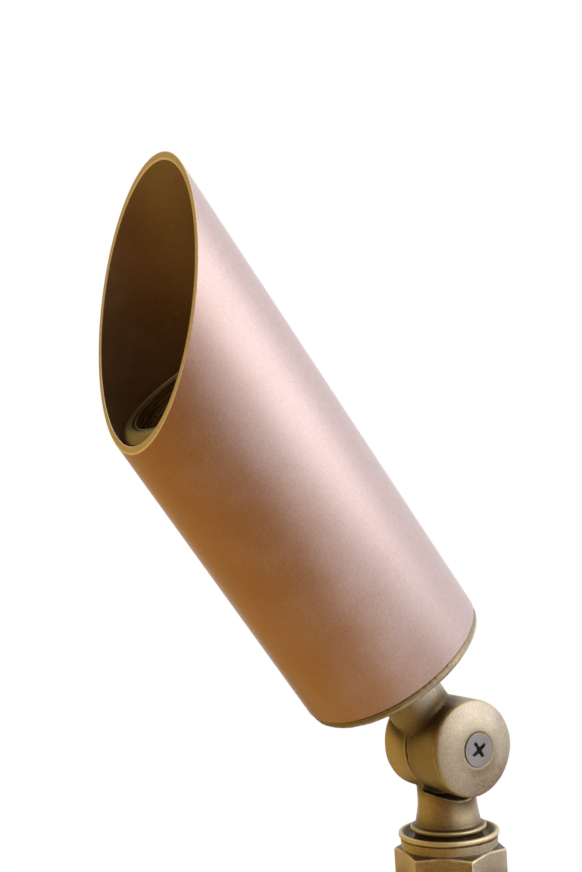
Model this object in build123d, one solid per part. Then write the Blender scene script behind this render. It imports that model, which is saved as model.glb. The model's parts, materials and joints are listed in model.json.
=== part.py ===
from build123d import *

import math
import os

# Garden spike spotlight. Millimetres and degrees.
# +Z is up and the origin is on the stake's axis at the ground line. The lamp leans towards -Y,
# and the head of the knuckle screw faces +X.
#
# The head is drawn upright on the tube's axis, which passes the knuckle's pivot at tube_offset:
# its own +Z runs along the tube, its own +Y is the side that ends up on top. place_head() then
# tilts it and lifts it to the pivot.

# ---------------------------------------------------------------- clearances
thread_fit = 0.05      # radial play of every thread, drawn as plain cylinders
seat_gap = 0.05        # between pieces that sit in each other and don't move
turning_gap = 0.2      # between flat faces that turn on each other

# ---------------------------------------------------------------- tilt and tube
head_tilt = 35.0       # from upright, towards -Y
tube_radius = 30.0
tube_wall = 1.65
mouth_height = 132.4   # from the tube's base to its cut mouth, along the axis
mouth_angle = 44.3     # between the cut and the tube's axis
base_height = 35.5     # pivot to the tube's base, along the axis
tube_offset = 1.5      # from the pivot to the tube's axis, towards the top side

# ---------------------------------------------------------------- rear cap and arm
cap_inset = 0.3        # the cap's rim inside the tube's surface
cap_edge = 3.0
cap_round = 1.1
cap_floor = 3.0        # floor above the tube's base
spigot_gap = 0.2       # between spigot and tube
spigot_length = 16.5
spigot_boss_wall = 1.8
arm_radius = 9.6
arm_flare = 2.0
o_ring_thickness = 2.0
o_ring_squeeze = 0.08  # left between ring and tube
groove_width = 2.6
groove_edge = 1.9      # from the spigot's ends to the ring grooves
set_screw_radius = 2.0
set_screw_height = 8.25
set_screw_socket = 1.0
set_screw_track = 1.6  # depth of the track that the screw noses run in
set_screw_nose_gap = 0.3
set_screw_inset = 0.2  # below the tube's surface
set_screw_socket_depth = 1.6
set_screw_track_gap = 0.5

# ---------------------------------------------------------------- lamp housing, lens and bezel
housing_wall = 1.55
housing_thread = 6.0
seal_thickness = 0.8
bezel_face = 105.0     # from the tube's base
bezel_gap = 0.35       # between the bezel and the tube's bore
bezel_skirt_wall = 1.05
bezel_shoulder = 2.4   # width and height of the bevel around the front face
bezel_land = 3.6       # width of the flat front face
bezel_skirt = 9.0
bezel_round = 0.4
lens_recess = 2.4
lens_thickness = 3.0
lens_inset = 1.1       # the glass's edge inside the housing's outer surface
lens_chamfer = 0.3
gasket_thickness = 1.0
gasket_width = 3.2

# ---------------------------------------------------------------- lamp, 50 mm reflector size
lamp_gap = 0.45        # between the lamp and the housing
lamp_length = 46.0
lamp_rim = 6.0
lamp_rim_wall = 1.6
lamp_bowl_depth = 11.8 # from the rim's ledge to the board
lamp_setback = 0.5     # below the gasket
fin_count = 12
fin_gap = 2.2
fin_root = 7.0         # above the lamp's base, where the gaps between the fins begin
fin_depth = 5.0
optic_gap = 0.3
optic_thickness = 5.5
optic_foot = 2.0       # above the board
board_radius = 12.0
board_thickness = 1.6
led_radius = 3.0
led_thickness = 0.3
lamp_base_size = (19.0, 11.0, 8.0)
lamp_base_round = 3.0
lamp_neck_radius = 10.0
pin_radius = 0.775
pin_spacing = 5.33
pin_length = 6.5
pin_root = 4.0         # held inside the lamp's base

# ---------------------------------------------------------------- socket and its bracket
socket_size = (20.0, 10.0, 12.0)
contact_radius = 1.6
contact_length = 8.0
socket_screw_spacing = 15.0
socket_screw_radius = 1.3
socket_screw_head = 2.4
socket_screw_head_height = 2.0
bracket_sheet = 1.0
bracket_width = 12.0
bracket_foot = 9.0
bracket_screw_radius = 1.5
bracket_screw_head = 2.8
bracket_screw_length = 6.0
bracket_screw_head_height = 1.6
lead_radius = 0.8
lead_spacing = 2.4
lead_hole_gap = 0.5
lead_bend = 12.0
lead_run = 8.0         # straight length at each end of a lead
plug_radius = 4.2
plug_length = 6.0

# ---------------------------------------------------------------- knuckle
disc_radius = 14.9
disc_width = 14.8      # from the parting plane to the rim of the right-hand disc
other_disc_width = 11.5
disc_round = 1.3
dome_height = 2.9
knuckle_gap = 1.6      # between one disc and the other casting's arm or neck
pocket_inner = 6.5     # wire pocket around the screw boss
pocket_outer = 11.0
pocket_depth = 8.4
wire_bore = 3.0
wire_bore_offset = 4.2
screw_radius = 2.41    # number 10 machine screw, 82 degree head
screw_head_radius = 5.2
screw_head_angle = 82.0
screw_head_land = 0.3
screw_clearance = 0.3
screw_recess_width = 1.3
screw_recess_span = 6.2
screw_recess_depth = 2.0
screw_recess_turn = 32.0
knuckle_nut_flats = 9.5
knuckle_nut_height = 3.2
knuckle_nut_inset = 1.0
screw_tip = 3.7        # beyond the nut's inner face
knuckle_ring_radius = 12.75
knuckle_ring_thickness = 1.5
knuckle_ring_groove = 1.8

# ---------------------------------------------------------------- neck and stem
neck_length = 27.0     # pivot to the underside of the neck's flange
neck_radius = 9.2
neck_foot_radius = 10.4
neck_flare_height = 6.0
flange_radius = 12.0
flange_thickness = 1.6
flange_round = 0.7
neck_blend = 22.0      # radius of the waist's long curve
stem_radius = 10.65    # half-inch pipe thread
stem_length = 30.5
stem_bore = 7.0
stem_roof = 5.0        # solid neck left above the stem's bore

# ---------------------------------------------------------------- lock nut
nut_flats = 30.8
nut_turn = -15.3       # a corner's bearing from +X
hex_height = 9.5
collar_height = 5.2
collar_radius = 15.8
collar_lip = 1.5       # height of the rounded lip
collar_step = 0.6      # the lip's overhang
collar_rim = 1.3       # flat top of the lip
collar_waist = 15.1
collar_recess = 2.0
collar_flange_gap = 0.6 # around the neck's flange
hex_chamfer = 0.9      # height of the cone that bevels the hex corners

# ---------------------------------------------------------------- stake
nut_gasket_thickness = 1.5
nut_gasket_radius = 15.2
nut_gasket_gap = 0.3
hub_height = 34.0
hub_top_radius = 18.0
hub_base_radius = 20.0
hub_round = 1.5
insert_radius = 13.5
insert_cover = 1.95    # of hub between the outlet's bush and the insert
cable_room_radius = 11.5
cable_room_floor = 5.5
ground_flange_radius = 30.0
ground_flange_thickness = 3.0
gusset_count = 6
gusset_thickness = 2.5
gusset_reach = 27.0
gusset_rise = 12.0
outlet_height = 12.5
outlet_boss_radius = 8.5
outlet_boss_reach = 20.5
grommet_radius = 5.55
grommet_bore = 3.6
grommet_flange_radius = 7.5
grommet_flange_thickness = 1.8
grommet_inner_end = 11.0
spike_length = 200.0
spike_core_radius = 6.0
spike_tip_radius = 0.8
fin_thickness = 3.4
fin_half_width = 17.0
fin_shoulder = 40.0    # depth where the fins begin to taper
fin_shoulder_half_width = 15.0
fin_end = 178.0
fin_end_half_width = 4.5
web_depths = (28.0, 66.0, 104.0)
web_thickness = 2.5
web_share = 0.72       # of the fins' width at that depth

# ---------------------------------------------------------------- derived sizes and heights
tube_bore = tube_radius - tube_wall
cap_radius = tube_radius - cap_inset
spigot_radius = tube_bore - spigot_gap
bezel_radius = tube_bore - bezel_gap
bezel_flat = bezel_radius - bezel_shoulder
bezel_opening = bezel_flat - bezel_land
housing_radius = bezel_radius - bezel_skirt_wall - thread_fit
housing_bore = housing_radius - housing_wall
boss_radius = housing_bore - thread_fit
lens_radius = housing_radius - lens_inset
lamp_radius = housing_bore - lamp_gap
optic_radius = lamp_radius - lamp_rim_wall
base_z = base_height
housing_base_z = base_z + spigot_length + seal_thickness
bezel_face_z = base_z + bezel_face
lens_top_z = bezel_face_z - lens_recess
gasket_top_z = lens_top_z - lens_thickness
housing_top_z = gasket_top_z - gasket_thickness
lamp_top_z = housing_top_z - lamp_setback
lamp_ledge_z = lamp_top_z - lamp_rim
board_z = lamp_ledge_z - lamp_bowl_depth
lamp_base_top_z = lamp_top_z - lamp_length + lamp_base_size[2]
socket_top_z = lamp_base_top_z - lamp_base_size[2]
socket_base_z = socket_top_z - socket_size[2]
floor_z = base_z + cap_floor
bracket_screw_x = socket_size[0] / 2 + bracket_sheet + bracket_foot / 2
bracket_screw_tip_z = floor_z + bracket_sheet - bracket_screw_length
bracket_screw_depth = floor_z - bracket_screw_tip_z + 1
contact_top_z = socket_top_z - (socket_size[2] - contact_length) / 2
contact_base_z = contact_top_z - contact_length
parting = turning_gap / 2
dome_top = disc_width + dome_height
other_dome_top = other_disc_width + dome_height
clearance_radius = disc_radius + knuckle_gap
knuckle_nut_face = other_dome_top - knuckle_nut_inset
nut_base = hub_height + nut_gasket_thickness + turning_gap
nut_height = hex_height + collar_height
flange_base = nut_base + nut_height + 1.5 * turning_gap
pivot_height = flange_base + neck_length
insert_base = outlet_height + grommet_radius + insert_cover
X_AXIS = (0, 90, 0)    # turns a piece that was drawn along +Z to lie along +X
LOW = (Align.CENTER, Align.CENTER, Align.MIN)


def rod(radius, low, high):
    """Round bar about Z from one height to another."""
    return Pos(0, 0, low) * Cylinder(radius, high - low, align=LOW)


def ring(outer, inner, low, high):
    """Round ring about Z."""
    return rod(outer, low, high) - rod(inner, low - 1, high + 1)


def turned(*outline, rounds=()):
    """Solid turned about Z from (radius, height) points; rounds holds (corner, radius) pairs."""
    face = make_face(Polyline(*outline, close=True))
    for corner, radius in rounds:
        face = fillet(face.vertices().sort_by_distance((*corner, 0))[0], radius)
    return revolve(Plane.XZ * face, Axis.Z)


def hexagon(flats, low, high):
    """Hex bar about Z, measured across its flats."""
    profile = RegularPolygon(flats / 2, 6, major_radius=False)
    return Pos(0, 0, low) * extrude(profile, high - low)


def block(size, low):
    """Rectangular block on the axis, standing on a height."""
    return Pos(0, 0, low) * Box(*size, align=LOW)


def pair(spacing, piece):
    """Two of the same piece, side by side along X."""
    return [Pos(side * spacing / 2, 0, 0) * piece for side in (-1, 1)]


def without(piece, holes):
    """The piece with each of the holes cut out of it."""
    for hole in holes:
        piece -= hole
    return piece


def place_head(piece):
    """Tilts a piece of the upright head about the pivot and lifts it there."""
    return Pos(0, 0, pivot_height) * Rot(head_tilt, 0, 0) * Pos(0, tube_offset, 0) * piece


def place_pivot(piece):
    """Lifts a piece drawn about the pivot without tilting it."""
    return Pos(0, 0, pivot_height) * piece


def place_ground(piece):
    """Leaves a piece that was drawn from the ground line where it is."""
    return piece


def around_tube(piece):
    """One copy for the -X side of the tube and one for its top side."""
    return [Rot(0, 0, angle) * piece for angle in (180, 90)]


# ---------------------------------------------------------------- shroud
def make_shroud():
    """Tube with a slanted mouth and two tapped holes for the set screws."""
    slope = 1 / math.tan(math.radians(mouth_angle))
    mouth = Plane(origin=(0, 0, base_z + mouth_height), z_dir=(0, -slope, 1))
    top = base_z + mouth_height + tube_radius * slope + 1
    tube = ring(tube_radius, tube_bore, base_z, top)
    tube = split(tube, bisect_by=mouth, keep=Keep.BOTTOM)
    hole = Rot(*X_AXIS) * rod(set_screw_radius + seat_gap, tube_bore - 2, tube_radius + 2)
    return without(tube, around_tube(Pos(0, 0, base_z + set_screw_height) * hole))


def make_set_screws():
    """Socket set screws through the tube's wall, noses in the spigot's track."""
    nose = spigot_radius - set_screw_track + set_screw_nose_gap
    face = tube_radius - set_screw_inset
    screw = rod(set_screw_radius, nose, face)
    screw -= hexagon(2 * set_screw_socket, face - set_screw_socket_depth, face + 1)
    return around_tube(Pos(0, 0, base_z + set_screw_height) * Rot(*X_AXIS) * screw)


# ---------------------------------------------------------------- rear cap casting
def spigot_ring_heights():
    """Heights of the two O-rings on the spigot."""
    edge = groove_edge + groove_width / 2
    return (base_z + edge, base_z + spigot_length - edge)


def knuckle_disc(width):
    """Domed disc along +X from the parting plane, hollowed for the wires."""
    top = width + dome_height
    dome_radius = (disc_radius ** 2 + dome_height ** 2) / (2 * dome_height)
    halfway = top - dome_radius + math.sqrt(dome_radius ** 2 - disc_radius ** 2 / 4)
    sides = Polyline((0, top), (0, parting), (disc_radius, parting), (disc_radius, width))
    dome = ThreePointArc((disc_radius, width), (disc_radius / 2, halfway), (0, top))
    face = make_face(sides.edges() + dome.edges())
    face = fillet(face.vertices().sort_by_distance((disc_radius, width, 0))[0], disc_round)
    body = revolve(Plane.XZ * face, Axis.Z)
    body -= ring(pocket_outer, pocket_inner, parting - 1, parting + pocket_depth)
    return Rot(*X_AXIS) * body


def other_disc_room():
    """Room for the other casting's disc, on the -X side of the parting plane."""
    return Rot(*X_AXIS) * rod(clearance_radius, -2 * disc_width, parting)


def make_rear_cap():
    """Cap, spigot, arm and right-hand disc in one casting."""
    spigot_bore = boss_radius - spigot_boss_wall
    spigot_top = base_z + spigot_length
    boss_top = spigot_top + housing_thread
    cap_base = base_z - cap_edge
    cap = turned(
        (0, cap_base), (cap_radius, cap_base), (cap_radius, base_z), (spigot_radius, base_z),
        (spigot_radius, spigot_top), (boss_radius, spigot_top),
        (boss_radius, boss_top), (spigot_bore, boss_top), (spigot_bore, floor_z), (0, floor_z),
        rounds=[((cap_radius, cap_base), cap_round)],
    )
    at_pivot = Pos(0, -tube_offset, 0)
    cap += at_pivot * rod(arm_radius, 0, cap_base)
    arm_root = cap.edges().filter_by(GeomType.CIRCLE).filter_by_position(Axis.Z, cap_base, cap_base)
    cap = fillet(arm_root.sort_by(SortBy.RADIUS)[0], arm_flare)
    groove_floor = spigot_radius - o_ring_thickness + o_ring_squeeze
    for height in spigot_ring_heights():
        cap -= ring(tube_radius, groove_floor, height - groove_width / 2, height + groove_width / 2)
    track = set_screw_radius + set_screw_track_gap
    screw_z = base_z + set_screw_height
    cap -= ring(tube_radius, spigot_radius - set_screw_track, screw_z - track, screw_z + track)
    cap -= at_pivot * other_disc_room()
    cap -= at_pivot * Rot(*X_AXIS) * rod(pocket_outer, parting, parting + pocket_depth)
    cap += at_pivot * knuckle_disc(disc_width)
    cap -= at_pivot * Rot(*X_AXIS) * rod(screw_radius + screw_clearance, -1, dome_top + 1)
    cap -= at_pivot * screw_head_shape(screw_clearance)
    wire_way = rod(wire_bore, pocket_inner + 1, floor_z + 1)
    wire_way += rod(plug_radius + seat_gap, floor_z - plug_length, floor_z + 1)
    cap -= Pos(wire_bore_offset, 0, 0) * wire_way
    tapping = rod(bracket_screw_radius + seat_gap, floor_z - bracket_screw_depth, floor_z + 1)
    return without(cap, pair(2 * bracket_screw_x, tapping))


def make_spigot_o_rings():
    """Two O-rings in the spigot's grooves."""
    centre = tube_bore - o_ring_squeeze - o_ring_thickness / 2
    o_ring = Torus(centre, o_ring_thickness / 2)
    return [Pos(0, 0, height) * o_ring for height in spigot_ring_heights()]


def make_wire_plug():
    """Rubber plug that seals the leads where they enter the cap."""
    plug = rod(plug_radius, floor_z - plug_length, floor_z)
    hole = rod(lead_radius + seat_gap, floor_z - plug_length - 1, floor_z + 1)
    return Pos(wire_bore_offset, 0, 0) * without(plug, pair(lead_spacing, hole))


# ---------------------------------------------------------------- knuckle screw, ring and nut
def screw_head_shape(grow):
    """Countersunk head of the knuckle screw, larger all round by a clearance."""
    top = dome_top - screw_head_land / 3
    radius = screw_head_radius + grow / 3
    depth = (radius - screw_radius) / math.tan(math.radians(screw_head_angle / 2))
    shape = turned(
        (0, top - screw_head_land - depth), (screw_radius, top - screw_head_land - depth),
        (radius, top - screw_head_land), (radius, top + grow), (0, top + grow),
    )
    return Rot(*X_AXIS) * shape


def make_knuckle_screw():
    """Machine screw through the right disc into the nut in the left one."""
    top = dome_top - screw_head_land / 3
    tip = -knuckle_nut_face + knuckle_nut_height - screw_tip
    screw = screw_head_shape(0) + Rot(*X_AXIS) * rod(screw_radius, tip, top - screw_recess_depth)
    for turn in (screw_recess_turn, screw_recess_turn + 90):
        slot = Box(2 * screw_recess_depth, screw_recess_span, screw_recess_width)
        screw -= Pos(top, 0, 0) * Rot(turn, 0, 0) * slot
    return screw


def make_knuckle_o_ring():
    """O-ring between the discs, in the left disc's face."""
    centre = parting / 2 - knuckle_ring_thickness / 2
    return Rot(*X_AXIS) * Pos(0, 0, centre) * Torus(knuckle_ring_radius, knuckle_ring_thickness / 2)


def make_knuckle_nut():
    """Hex nut in the left disc's pocket."""
    nut = hexagon(knuckle_nut_flats, 0, knuckle_nut_height)
    nut -= rod(screw_radius + thread_fit, -1, knuckle_nut_height + 1)
    return Pos(-knuckle_nut_face, 0, 0) * Rot(*X_AXIS) * nut


# ---------------------------------------------------------------- lower knuckle casting
def make_lower_knuckle():
    """Left-hand disc, waisted neck, flange and threaded stem in one casting."""
    bottom = -neck_length
    flange_top = bottom + flange_thickness
    stem_bottom = bottom - stem_length
    neck = turned(
        (0, stem_bottom), (stem_radius, stem_bottom), (stem_radius, bottom), (flange_radius, bottom),
        (flange_radius, flange_top), (neck_foot_radius, flange_top),
        (neck_radius, flange_top + neck_flare_height), (neck_radius, 0), (0, 0),
        rounds=[
            ((flange_radius, bottom), flange_round), ((flange_radius, flange_top), flange_round),
            ((neck_foot_radius, flange_top), flange_round / 2),
            ((neck_radius, flange_top + neck_flare_height), neck_blend),
        ],
    )
    neck -= Rot(0, 0, 180) * other_disc_room()
    neck -= Rot(0, -90, 0) * rod(pocket_outer, parting, parting + pocket_depth)
    neck += Rot(0, 0, 180) * knuckle_disc(other_disc_width)
    neck -= Rot(0, -90, 0) * rod(screw_radius + thread_fit, -1, other_dome_top + 1)
    pocket_floor = -knuckle_nut_face + knuckle_nut_height
    pocket = hexagon(knuckle_nut_flats + 2 * seat_gap, -other_dome_top, pocket_floor)
    neck -= Rot(*X_AXIS) * pocket
    groove = knuckle_ring_groove / 2
    groove_depth = knuckle_ring_thickness - parting / 2
    neck -= Rot(*X_AXIS) * ring(
        knuckle_ring_radius + groove, knuckle_ring_radius - groove, -groove_depth, parting)
    neck -= Pos(-wire_bore_offset, 0, 0) * rod(wire_bore, bottom - stem_roof - 1, -pocket_inner - 1)
    neck -= rod(stem_bore, stem_bottom - 1, bottom - stem_roof)
    return neck


# ---------------------------------------------------------------- lamp housing, lens and bezel
def make_housing_sleeve():
    """Inner tube that carries the lens, screwed on the spigot."""
    return ring(housing_radius, housing_bore, housing_base_z, housing_top_z)


def make_housing_seal():
    """Flat ring under the sleeve."""
    return ring(housing_radius, housing_bore, base_z + spigot_length, housing_base_z)


def make_lens_gasket():
    """Silicone ring between the sleeve's edge and the glass."""
    return ring(housing_radius, housing_radius - gasket_width, housing_top_z, gasket_top_z)


def make_glass_lens():
    """Flat round glass with ground edges."""
    glass = rod(lens_radius, gasket_top_z, lens_top_z - turning_gap / 2)
    return chamfer(glass.edges().filter_by(GeomType.CIRCLE), lens_chamfer)


def make_lens_bezel():
    """Threaded ring with a flat face and a sloping shoulder."""
    skirt_bore = housing_radius + thread_fit
    skirt_z = bezel_face_z - bezel_skirt
    shoulder_z = bezel_face_z - bezel_shoulder
    return turned(
        (bezel_opening, lens_top_z), (skirt_bore, lens_top_z), (skirt_bore, skirt_z),
        (bezel_radius, skirt_z), (bezel_radius, shoulder_z),
        (bezel_flat, bezel_face_z), (bezel_opening, bezel_face_z),
        rounds=[
            ((bezel_opening, bezel_face_z), bezel_round),
            ((bezel_flat, bezel_face_z), bezel_round),
        ],
    )


# ---------------------------------------------------------------- lamp
def make_lamp_heat_sink():
    """Lamp body with cooling fins and a bowl for the optic."""
    bottom = lamp_base_top_z
    seat_radius = optic_radius + optic_gap
    cone_radius = optic_radius - optic_foot
    board_seat = board_radius + seat_gap
    neck_top = bottom + fin_root - 1
    body = turned(
        (0, bottom), (lamp_neck_radius, bottom), (lamp_neck_radius, neck_top),
        (board_radius + 1, fin_root + 1 + bottom), (lamp_radius, lamp_ledge_z),
        (lamp_radius, lamp_top_z), (seat_radius, lamp_top_z), (seat_radius, lamp_ledge_z),
        (cone_radius, lamp_ledge_z - optic_foot), (board_seat, board_z), (0, board_z),
    )
    gap_height = lamp_ledge_z - bottom - fin_root - 1
    gap = Pos(lamp_radius, 0, bottom + fin_root) * Box(2 * fin_depth, fin_gap, gap_height, align=LOW)
    for index in range(fin_count):
        body -= Rot(0, 0, index * 360 / fin_count) * gap
    return body


def make_lamp_optic():
    """Clear collimator with a flat front."""
    foot = board_z + optic_foot
    flank_radius = optic_radius - optic_foot - 1
    return turned(
        (0, foot), (board_radius / 2, foot), (flank_radius, lamp_ledge_z - seat_gap),
        (optic_radius, lamp_ledge_z), (optic_radius, lamp_ledge_z + optic_thickness),
        (0, lamp_ledge_z + optic_thickness),
    )


def make_lamp_led_board():
    """Round board with the LED's dome."""
    top = board_z + board_thickness
    return rod(board_radius, board_z, top) + rod(led_radius, top, top + led_thickness)


def make_lamp_base():
    """Moulded foot of the lamp, with holes for the pins."""
    base = block(lamp_base_size, socket_top_z)
    base = fillet(base.edges().filter_by(Axis.Z), lamp_base_round)
    hole = rod(pin_radius + seat_gap, socket_top_z - 1, socket_top_z + pin_root)
    return without(base, pair(pin_spacing, hole))


def make_lamp_pins():
    """Two contact pins."""
    pin = rod(pin_radius, socket_top_z - pin_length, socket_top_z + pin_root)
    return pair(pin_spacing, pin)


# ---------------------------------------------------------------- socket, bracket and leads
def make_lamp_socket():
    """Ceramic socket, bored for the contacts, pins, leads and screws."""
    under_head = socket_top_z - 2 * socket_screw_head_height
    contact_room = rod(contact_radius + seat_gap, contact_base_z, contact_top_z)
    wire_way = rod(lead_radius + seat_gap, socket_base_z - 1, socket_top_z + 1)
    screw_hole = rod(socket_screw_radius + seat_gap, socket_base_z - 1, socket_top_z)
    head_room = rod(socket_screw_head + seat_gap, under_head, socket_top_z + 1)
    socket = block(socket_size, socket_base_z)
    socket = without(socket, pair(pin_spacing, contact_room + wire_way))
    return without(socket, pair(socket_screw_spacing, screw_hole + head_room))


def make_socket_contacts():
    """Two brass tubes that grip the pins."""
    low = contact_base_z + seat_gap
    high = contact_top_z - seat_gap
    return pair(pin_spacing, ring(contact_radius, pin_radius + thread_fit, low, high))


def make_socket_screws():
    """Two cheese-head screws through the socket into the bracket."""
    under_head = socket_top_z - 2 * socket_screw_head_height
    screw = rod(socket_screw_head, under_head, under_head + socket_screw_head_height)
    screw += rod(socket_screw_radius, socket_base_z - bracket_sheet - 1, under_head)
    return pair(socket_screw_spacing, screw)


def make_socket_bracket():
    """Sheet-metal bridge: two feet on the cap, two legs and a table for the socket."""
    leg_x = (socket_size[0] + bracket_sheet) / 2
    table_width = socket_size[0] + 2 * bracket_sheet
    table_z = socket_base_z - bracket_sheet
    bracket = block((table_width, bracket_width, bracket_sheet), table_z)
    leg = block((bracket_sheet, bracket_width, socket_base_z - floor_z), floor_z)
    foot = block((bracket_foot, bracket_width, bracket_sheet), floor_z)
    for part in pair(2 * leg_x, leg) + pair(2 * bracket_screw_x, foot):
        bracket += part
    foot_hole = rod(bracket_screw_radius + seat_gap, floor_z - 1, floor_z + bracket_sheet + 1)
    screw_hole = rod(socket_screw_radius + seat_gap, table_z - 1, socket_base_z + 1)
    lead_hole = rod(lead_radius + lead_hole_gap, table_z - 1, socket_base_z + 1)
    bracket = without(bracket, pair(2 * bracket_screw_x, foot_hole))
    bracket = without(bracket, pair(socket_screw_spacing, screw_hole))
    return without(bracket, pair(pin_spacing, lead_hole))


def make_bracket_screws():
    """Two pan-head screws that hold the bracket's feet."""
    under_head = floor_z + bracket_sheet
    screw = rod(bracket_screw_head, under_head, under_head + bracket_screw_head_height)
    screw += rod(bracket_screw_radius, bracket_screw_tip_z, under_head)
    return pair(2 * bracket_screw_x, screw)


def make_socket_leads():
    """Two insulated leads from the contacts down into the seal plug."""
    leads = []
    for side in (-1, 1):
        start = side * pin_spacing / 2
        end = wire_bore_offset + side * lead_spacing / 2
        path = FilletPolyline(
            (start, 0, contact_base_z), (start, 0, socket_base_z - lead_run),
            (end, 0, floor_z + lead_run), (end, 0, floor_z - plug_length + 1), radius=lead_bend)
        profile = Plane(origin=(start, 0, contact_base_z), z_dir=(0, 0, -1)) * Circle(lead_radius)
        leads.append(sweep(profile, path=path))
    return leads


# ---------------------------------------------------------------- lock nut
def make_lock_nut():
    """Hex nut with bevelled corners and a raised collar with a lip."""
    corner = nut_flats / math.sqrt(3)
    collar_top = hex_height + collar_height
    lip_base = collar_top - collar_lip
    recess_floor = collar_top - collar_recess
    blank = turned(
        (0, 0), (corner - hex_chamfer, 0), (corner, hex_chamfer),
        (corner, hex_height - hex_chamfer), (collar_waist, hex_height), (0, hex_height),
    )
    nut = blank & Rot(0, 0, nut_turn) * hexagon(nut_flats, 0, hex_height)
    collar = turned(
        (0, hex_height - 1), (collar_waist, hex_height - 1), (collar_waist, hex_height),
        (collar_radius - collar_step, lip_base), (collar_radius, lip_base),
        (collar_radius, collar_top), (collar_radius - collar_rim, collar_top),
        (flange_radius + collar_flange_gap, recess_floor), (0, recess_floor),
        rounds=[
            ((collar_radius, collar_top), 0.9 * collar_step),
            ((collar_radius, lip_base), 0.7 * collar_step),
        ],
    )
    nut += collar
    return Pos(0, 0, nut_base) * (nut - rod(stem_radius + thread_fit, -1, collar_top + 1))


# ---------------------------------------------------------------- stake
def make_nut_gasket():
    """Rubber ring between the lock nut and the hub."""
    inner = stem_radius + nut_gasket_gap
    return ring(nut_gasket_radius, inner, hub_height, hub_height + nut_gasket_thickness)


def make_thread_insert():
    """Brass insert with the hub's thread, headed over the hub's mouth."""
    return ring(insert_radius, stem_radius + thread_fit, insert_base, hub_height)


def make_cable_grommet():
    """Flanged rubber bush in the hub's cable outlet."""
    flange_end = outlet_boss_reach + grommet_flange_thickness
    bush = rod(grommet_radius, grommet_inner_end, outlet_boss_reach)
    bush += rod(grommet_flange_radius, outlet_boss_reach, flange_end)
    bush -= rod(grommet_bore, grommet_inner_end - 1, flange_end + 1)
    return place_outlet(bush)


def fin_half_width_at(depth):
    """Half the width of the spike's fins at a depth below the ground flange."""
    if depth < fin_shoulder:
        share = depth / fin_shoulder
        return fin_half_width + share * (fin_shoulder_half_width - fin_half_width)
    share = (depth - fin_shoulder) / (fin_end - fin_shoulder)
    return fin_shoulder_half_width + share * (fin_end_half_width - fin_shoulder_half_width)


def make_ground_spike():
    """Hub, ground flange, gussets and crossed fins in one moulding."""
    body = make_hub() + make_crossed_fins()
    body -= rod(insert_radius + seat_gap, insert_base, hub_height + 1)
    body -= rod(cable_room_radius, cable_room_floor, insert_base + 1)
    return body - place_outlet(rod(grommet_radius + seat_gap, 0, outlet_boss_reach + 1))


def place_outlet(piece):
    """Turns a piece that was drawn along +Z to lie along the cable outlet."""
    return Pos(0, 0, outlet_height) * Rot(-90, 0, 0) * piece


def make_hub():
    """Tapered hub on its ground flange, with gussets and the outlet's boss."""
    hub = turned(
        (0, 0), (hub_base_radius, 0), (hub_top_radius, hub_height), (0, hub_height),
        rounds=[((hub_top_radius, hub_height), hub_round)],
    )
    hub += turned(
        (0, 0), (ground_flange_radius, 0), (ground_flange_radius, ground_flange_thickness),
        (0, ground_flange_thickness),
        rounds=[((ground_flange_radius, ground_flange_thickness), ground_flange_thickness / 3)],
    )
    hub += place_outlet(rod(outlet_boss_radius, 0, outlet_boss_reach))
    root = hub_top_radius - 2
    low = ground_flange_thickness - 1
    profile = make_face(Polyline(
        (root, low), (gusset_reach, low), (gusset_reach, low + 2), (root, low + gusset_rise + 4),
        close=True,
    ))
    gusset = extrude(Plane.XZ * profile, gusset_thickness / 2, both=True)
    for index in range(gusset_count):
        hub += Rot(0, 0, index * 360 / gusset_count) * gusset
    return hub


def make_crossed_fins():
    """Spike below the ground flange: a tapering core, two crossed fins and round webs."""
    overlap = 0.5
    outline = [
        (fin_half_width, overlap), (fin_shoulder_half_width, -fin_shoulder),
        (fin_end_half_width, -fin_end), (spike_tip_radius, -spike_length),
    ]
    outline += [(-x, z) for x, z in reversed(outline)]
    fin = extrude(Plane.XZ * make_face(Polyline(*outline, close=True)), fin_thickness / 2, both=True)
    spike = turned(
        (0, overlap), (spike_core_radius, overlap), (fin_thickness / 2, -fin_end),
        (spike_tip_radius, -spike_length), (0, -spike_length),
    )
    spike += fin + Rot(0, 0, 90) * fin
    for depth in web_depths:
        spike += rod(web_share * fin_half_width_at(depth), -depth - web_thickness, -depth)
    return spike


# ---------------------------------------------------------------- the whole light
head_pieces = {
    "glare_shroud": make_shroud,
    "shroud_set_screws": make_set_screws,
    "rear_cap_casting": make_rear_cap,
    "spigot_o_rings": make_spigot_o_rings,
    "wire_seal_plug": make_wire_plug,
    "lamp_housing_sleeve": make_housing_sleeve,
    "housing_seal": make_housing_seal,
    "lens_gasket": make_lens_gasket,
    "glass_lens": make_glass_lens,
    "lens_bezel": make_lens_bezel,
    "lamp_heat_sink": make_lamp_heat_sink,
    "lamp_optic": make_lamp_optic,
    "lamp_led_board": make_lamp_led_board,
    "lamp_base": make_lamp_base,
    "lamp_pins": make_lamp_pins,
    "lamp_socket": make_lamp_socket,
    "socket_contacts": make_socket_contacts,
    "socket_screws": make_socket_screws,
    "socket_bracket": make_socket_bracket,
    "bracket_screws": make_bracket_screws,
    "socket_leads": make_socket_leads,
}
pivot_pieces = {
    "knuckle_screw": make_knuckle_screw,
    "knuckle_o_ring": make_knuckle_o_ring,
    "knuckle_nut": make_knuckle_nut,
    "lower_knuckle_casting": make_lower_knuckle,
}
stake_pieces = {
    "stem_lock_nut": make_lock_nut,
    "nut_gasket": make_nut_gasket,
    "hub_thread_insert": make_thread_insert,
    "cable_grommet": make_cable_grommet,
    "ground_spike": make_ground_spike,
}


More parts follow.
